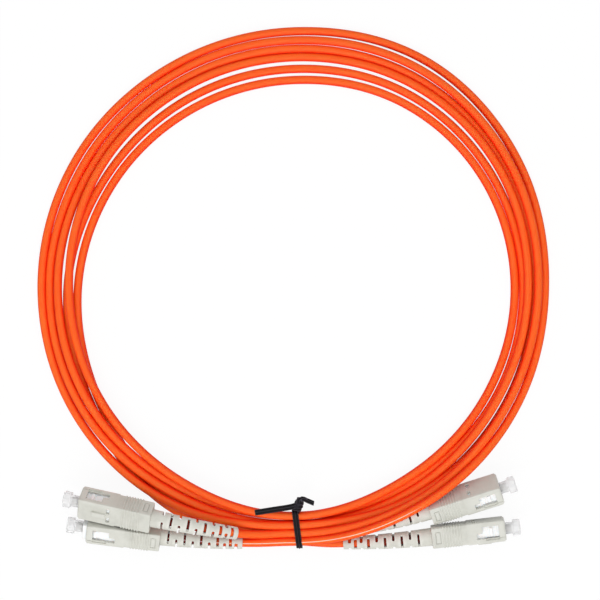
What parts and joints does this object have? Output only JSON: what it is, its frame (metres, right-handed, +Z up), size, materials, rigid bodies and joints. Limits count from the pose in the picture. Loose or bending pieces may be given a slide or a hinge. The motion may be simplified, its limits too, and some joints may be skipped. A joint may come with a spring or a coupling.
{
  "type": "fiber optic patch cord",
  "caption": "Orange duplex fiber patch cord wound in a flat coil under a twist tie, with keyed push-pull plugs, slotted bend-relief boots and dust caps on its ends.",
  "frame": {"origin": "on the table under the middle of the whole bundle", "axes": "+Z up from the table, +Y from the plugs and the tie towards the far side of the coil, +X to the right seen from above with the plugs nearest"},
  "size_m": [0.1757, 0.1795, 0.0175],
  "materials": {
    "cord_jacket": "smooth extruded jacket with a soft sheen",
    "tie_plastic": "ribbed matt strip",
    "grip_plastic": "fine satin mouldings",
    "frame_plastic": "satin white moulding",
    "zirconia": "polished",
    "steel": "plain",
    "tube_plastic": "clear drawn tube",
    "buffer_plastic": "smooth buffer",
    "crimp_brass": "plated",
    "boot_rubber": "satin, soft",
    "cap_plastic": "translucent white"
  },
  "bodies": {
    "cord_set": {"coil_a": "cord_jacket", "coil_b": "cord_jacket", "tail_1": "cord_jacket", "tail_2": "cord_jacket", "tail_3": "cord_jacket", "tail_4": "cord_jacket", "twist_tie": "tie_plastic", "plug_frame_1": "frame_plastic", "plug_frame_2": "frame_plastic", "plug_frame_3": "frame_plastic", "plug_frame_4": "frame_plastic", "spring_1": "steel", "spring_2": "steel", "spring_3": "steel", "spring_4": "steel", "stop_body_1": "steel", "stop_body_2": "steel", "stop_body_3": "steel", "stop_body_4": "steel", "guide_tube_1": "tube_plastic", "guide_tube_2": "tube_plastic", "guide_tube_3": "tube_plastic", "guide_tube_4": "tube_plastic", "buffer_1": "buffer_plastic", "buffer_2": "buffer_plastic", "buffer_3": "buffer_plastic", "buffer_4": "buffer_plastic", "crimp_ring_1": "crimp_brass", "crimp_ring_2": "crimp_brass", "crimp_ring_3": "crimp_brass", "crimp_ring_4": "crimp_brass", "boot_1": "boot_rubber", "boot_2": "boot_rubber", "boot_3": "boot_rubber", "boot_4": "boot_rubber"},
    "grip_1": {"grip_1": "grip_plastic"},
    "ferrule_1": {"ferrule_1": "zirconia", "flange_1": "steel"},
    "cap_1": {"dust_cap_1": "cap_plastic"},
    "grip_2": {"grip_2": "grip_plastic"},
    "ferrule_2": {"ferrule_2": "zirconia", "flange_2": "steel"},
    "cap_2": {"dust_cap_2": "cap_plastic"},
    "grip_3": {"grip_3": "grip_plastic"},
    "ferrule_3": {"ferrule_3": "zirconia", "flange_3": "steel"},
    "cap_3": {"dust_cap_3": "cap_plastic"},
    "grip_4": {"grip_4": "grip_plastic"},
    "ferrule_4": {"ferrule_4": "zirconia", "flange_4": "steel"},
    "cap_4": {"dust_cap_4": "cap_plastic"}
  },
  "joints": [
    {"name": "grip_slide_1", "type": "slide", "parent": "cord_set", "child": "grip_1", "axis": [-0.9728, 0.2068, -0.1045], "range_m": [-0.0012, 0.0006]},
    {"name": "ferrule_float_1", "type": "slide", "parent": "cord_set", "child": "ferrule_1", "axis": [-0.9728, 0.2068, -0.1045], "range_m": [-0.0012, 0], "stiffness_N_per_m": 1000, "springref_m": 0.004, "deforming": ["spring_1"]},
    {"name": "cap_pull_1", "type": "slide", "parent": "ferrule_1", "child": "cap_1", "axis": [-0.9728, 0.2068, -0.1045], "range_m": [0, 0.007]},
    {"name": "grip_slide_2", "type": "slide", "parent": "cord_set", "child": "grip_2", "axis": [-0.9919, 0.1271, 0], "range_m": [0, 0.0018]},
    {"name": "ferrule_float_2", "type": "slide", "parent": "cord_set", "child": "ferrule_2", "axis": [-0.9919, 0.1271, 0], "range_m": [-0.0012, 0], "stiffness_N_per_m": 1000, "springref_m": 0.004, "deforming": ["spring_2"]},
    {"name": "cap_pull_2", "type": "slide", "parent": "ferrule_2", "child": "cap_2", "axis": [-0.9919, 0.1271, 0], "range_m": [0, 0.007]},
    {"name": "grip_slide_3", "type": "slide", "parent": "cord_set", "child": "grip_3", "axis": [0.9497, 0.3067, 0.0628], "range_m": [-0.0015, 0.0003]},
    {"name": "ferrule_float_3", "type": "slide", "parent": "cord_set", "child": "ferrule_3", "axis": [0.9497, 0.3067, 0.0628], "range_m": [-0.0012, 0], "stiffness_N_per_m": 1000, "springref_m": 0.004, "deforming": ["spring_3"]},
    {"name": "cap_pull_3", "type": "slide", "parent": "ferrule_3", "child": "cap_3", "axis": [0.9497, 0.3067, 0.0628], "range_m": [0, 0.007]},
    {"name": "grip_slide_4", "type": "slide", "parent": "cord_set", "child": "grip_4", "axis": [0.9927, 0.1166, 0.0297], "range_m": [-0.0018, 0]},
    {"name": "ferrule_float_4", "type": "slide", "parent": "cord_set", "child": "ferrule_4", "axis": [0.9927, 0.1166, 0.0297], "range_m": [-0.0012, 0], "stiffness_N_per_m": 1000, "springref_m": 0.004, "deforming": ["spring_4"]},
    {"name": "cap_pull_4", "type": "slide", "parent": "ferrule_4", "child": "cap_4", "axis": [0.9927, 0.1166, 0.0297], "range_m": [0, 0.007]}
  ]
}
